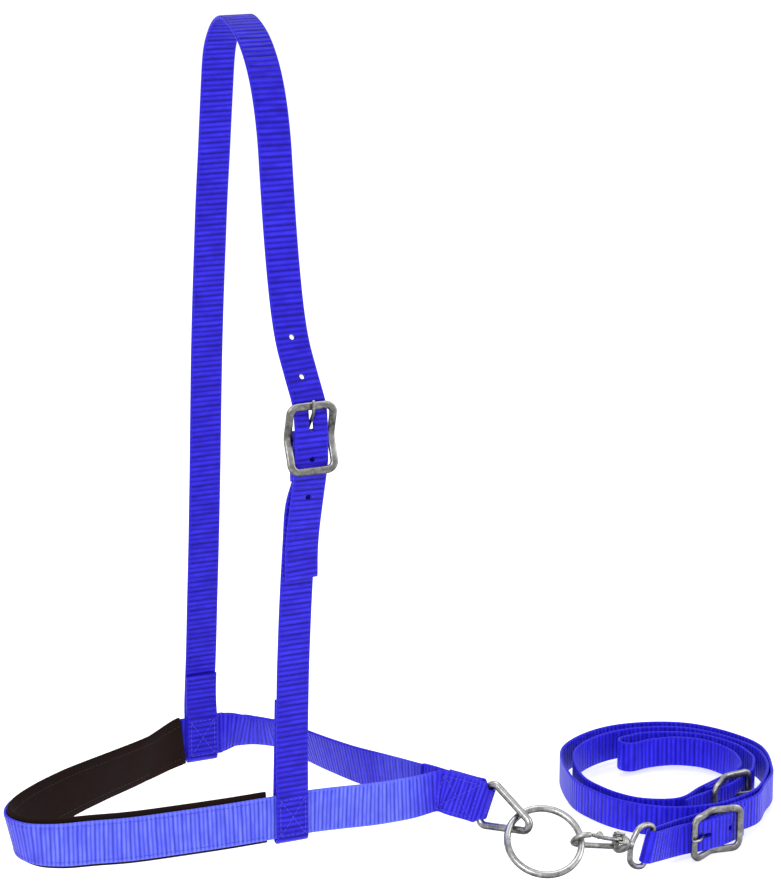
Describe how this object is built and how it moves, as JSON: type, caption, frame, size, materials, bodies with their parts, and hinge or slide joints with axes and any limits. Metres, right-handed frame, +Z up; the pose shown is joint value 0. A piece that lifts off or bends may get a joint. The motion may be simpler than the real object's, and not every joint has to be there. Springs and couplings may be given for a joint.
{
  "type": "head halter",
  "caption": "Webbing noseband headstall with a buckled crown strap, lined nose, chin triangle and ring, and a coiled tie-down strap on a swivel snap.",
  "frame": {"origin": "inner face of the crown strap where it lies over the poll", "axes": "+Z up, -X towards the animal's muzzle, +X back towards its chest, -Y the near side with the cheek buckle"},
  "size_m": [0.4951, 0.2056, 0.4938],
  "materials": {
    "webbing": "royal blue ribbed nylon webbing",
    "lining": "dark brown-black matt lining",
    "nickel": "satin nickel plate"
  },
  "bodies": {
    "headstall": {"noseband_webbing": "webbing", "nose_lining": "lining", "near_cheek_strap": "webbing", "crown_strap": "webbing", "cheek_buckle_frame": "nickel"},
    "cheek_tongue": {"cheek_buckle_tongue": "nickel"},
    "triangle": {"chin_triangle": "nickel"},
    "ring": {"tie_down_ring": "nickel"},
    "snap": {"snap_body": "nickel", "snap_gate_rivet": "nickel", "snap_gate_spring": "nickel"},
    "gate": {"snap_gate": "nickel"},
    "swivel": {"snap_eye": "nickel"},
    "tie_down": {"tie_down_strap": "webbing", "snap_end_buckle_frame": "nickel", "snap_end_buckle_chape": "webbing", "loop_end_buckle_frame": "nickel", "loop_end_buckle_chape": "webbing"},
    "snap_end_tongue": {"snap_end_buckle_tongue": "nickel"},
    "loop_end_tongue": {"loop_end_buckle_tongue": "nickel"}
  },
  "joints": [
    {"name": "cheek_tongue_hinge", "type": "hinge", "parent": "headstall", "child": "cheek_tongue", "pos_m": [0.002, -0.087, -0.211], "axis": [1, 0, 0], "range_deg": [0, 12]},
    {"name": "triangle_hinge", "type": "hinge", "parent": "headstall", "child": "triangle", "pos_m": [0.1142, -0.07582, -0.44088], "axis": [0.2574, -0.12, 0.9588], "range_deg": [-14, 30]},
    {"name": "ring_hinge", "type": "hinge", "parent": "triangle", "child": "ring", "pos_m": [0.12396, -0.09485, -0.44589], "axis": [0, 0, 1], "range_deg": [-8, 8]},
    {"name": "snap_hinge", "type": "hinge", "parent": "ring", "child": "snap", "pos_m": [0.15479, -0.11599, -0.4555], "axis": [0, 0, 1], "range_deg": [-25, 20]},
    {"name": "gate_hinge", "type": "hinge", "parent": "snap", "child": "gate", "pos_m": [0.1801, -0.11402, -0.46067], "axis": [-0.0832, -0.7255, -0.6832], "range_deg": [0, 22], "stiffness_Nm_per_rad": 0.01, "springref_deg": -11.46},
    {"name": "swivel_spin", "type": "hinge", "parent": "snap", "child": "swivel", "pos_m": [0.15479, -0.11599, -0.4555], "axis": [0.9266, 0.1961, -0.321], "continuous": true},
    {"name": "strap_hinge", "type": "hinge", "parent": "swivel", "child": "tie_down", "pos_m": [0.2053, -0.1053, -0.473], "axis": [0.314, 0.0664, 0.9471], "range_deg": [-25, 10]},
    {"name": "snap_end_tongue_hinge", "type": "hinge", "parent": "tie_down", "child": "snap_end_tongue", "pos_m": [0.256, -0.089, -0.4775], "axis": [0, 0, 1], "range_deg": [0, 10]},
    {"name": "loop_end_tongue_hinge", "type": "hinge", "parent": "tie_down", "child": "loop_end_tongue", "pos_m": [0.2905, -0.0465, -0.4775], "axis": [0, 0, -1], "range_deg": [0, 10]}
  ]
}
